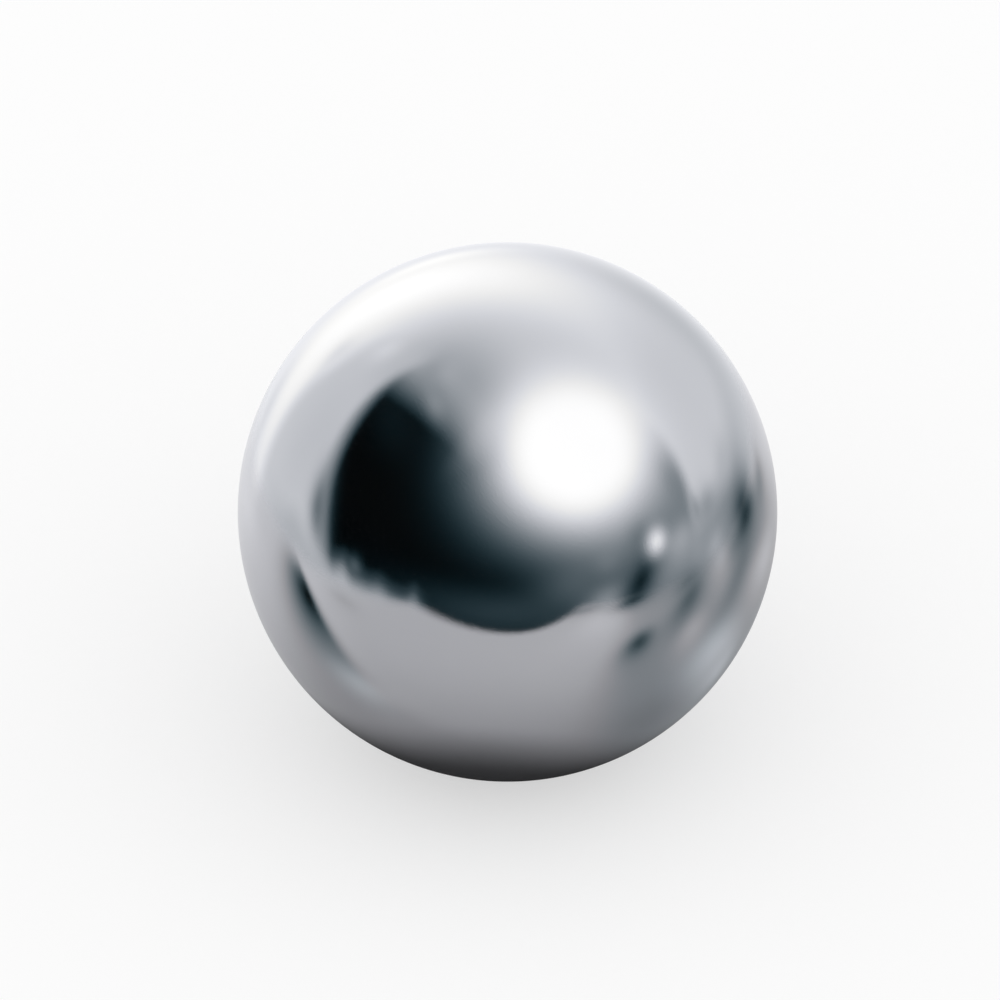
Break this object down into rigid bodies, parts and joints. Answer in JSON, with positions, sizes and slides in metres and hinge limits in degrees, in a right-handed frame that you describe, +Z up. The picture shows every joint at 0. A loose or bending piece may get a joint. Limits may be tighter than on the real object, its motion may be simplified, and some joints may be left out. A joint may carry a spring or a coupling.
{
  "type": "steel ball",
  "caption": "Solid polished steel ball, a plain mirror-bright sphere that rolls, bears load between tracks or sits in a cup, cone or ring.",
  "frame": {"origin": "centre of the ball", "axes": "+Z up; a ball is the same about every axis, so X and Y are only level directions, with -Y towards the viewer"},
  "size_m": [0.025, 0.025, 0.025],
  "materials": {
    "polished_steel": "polished"
  },
  "bodies": {
    "root": {"ball": "polished_steel"}
  },
  "joints": []
}
